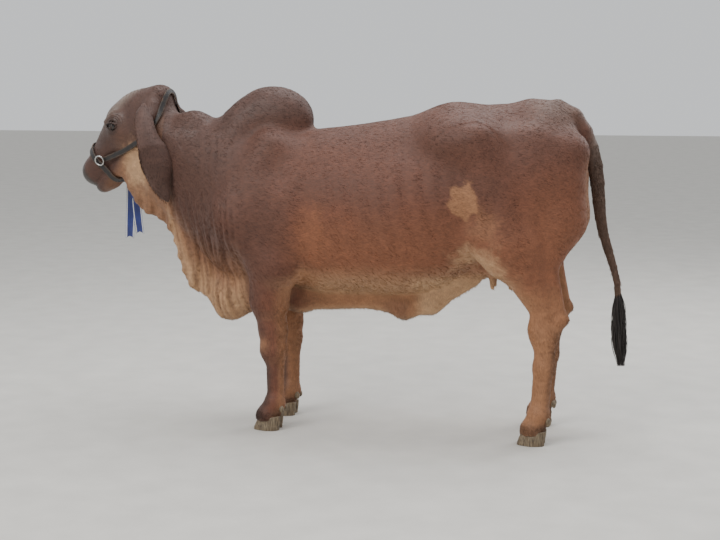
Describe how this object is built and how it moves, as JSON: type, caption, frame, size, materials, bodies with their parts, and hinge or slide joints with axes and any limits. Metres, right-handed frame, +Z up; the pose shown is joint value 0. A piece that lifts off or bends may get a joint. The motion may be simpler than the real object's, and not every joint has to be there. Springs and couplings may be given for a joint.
{
  "type": "zebu cow still model",
  "caption": "Life-size still model of a red zebu cow with a high shoulder hump, long hanging ears and deep dewlap, standing square in a dark show halter with a blue ribbon.",
  "frame": {"origin": "centre of the bounding box, on the ground under the hooves", "axes": "+X towards the tail, +Y towards the animal's right side, +Z up; the head points towards -X"},
  "size_m": [2.4422, 0.599, 1.4627],
  "materials": {
    "coat_head": "short dense hair, greyish umber brown with a soft sheen",
    "coat_neck": "short dense hair, dark red-brown",
    "coat_body": "short dense hair, red-brown fading to tan under the barrel",
    "coat_dewlap": "soft loose skin with thin tan to cream hair",
    "coat_fore": "short hair, red-brown in front and tan behind",
    "coat_hind": "short hair, orange-brown above and tan below the hock",
    "ear_skin": "thin skin with sleek brown hair outside and pale skin inside",
    "eye": "polished dark brown",
    "horn": "dull pale horn",
    "tail_skin": "short grey-brown hair",
    "switch_hair": "long black hair in tapered locks",
    "halter_leather": "worn black strap leather",
    "halter_metal": "polished, slightly scuffed",
    "ribbon": "blue satin with white edges"
  },
  "bodies": {
    "root": {"head": "coat_head", "neck": "coat_neck", "hump": "coat_neck", "torso": "coat_body", "dewlap": "coat_dewlap", "foreleg_left": "coat_fore", "foreleg_right": "coat_fore", "hindleg_left": "coat_hind", "hindleg_right": "coat_hind", "ear_left": "ear_skin", "ear_right": "ear_skin", "eye_left": "eye", "eye_right": "eye", "hoof_fore_left": "horn", "hoof_fore_right": "horn", "hoof_hind_left": "horn", "hoof_hind_right": "horn", "tail": "tail_skin", "tail_switch": "switch_hair", "halter_noseband": "halter_leather", "halter_crown": "halter_leather", "halter_ring_left": "halter_metal", "halter_ring_right": "halter_metal", "ribbon": "ribbon"}
  },
  "joints": []
}
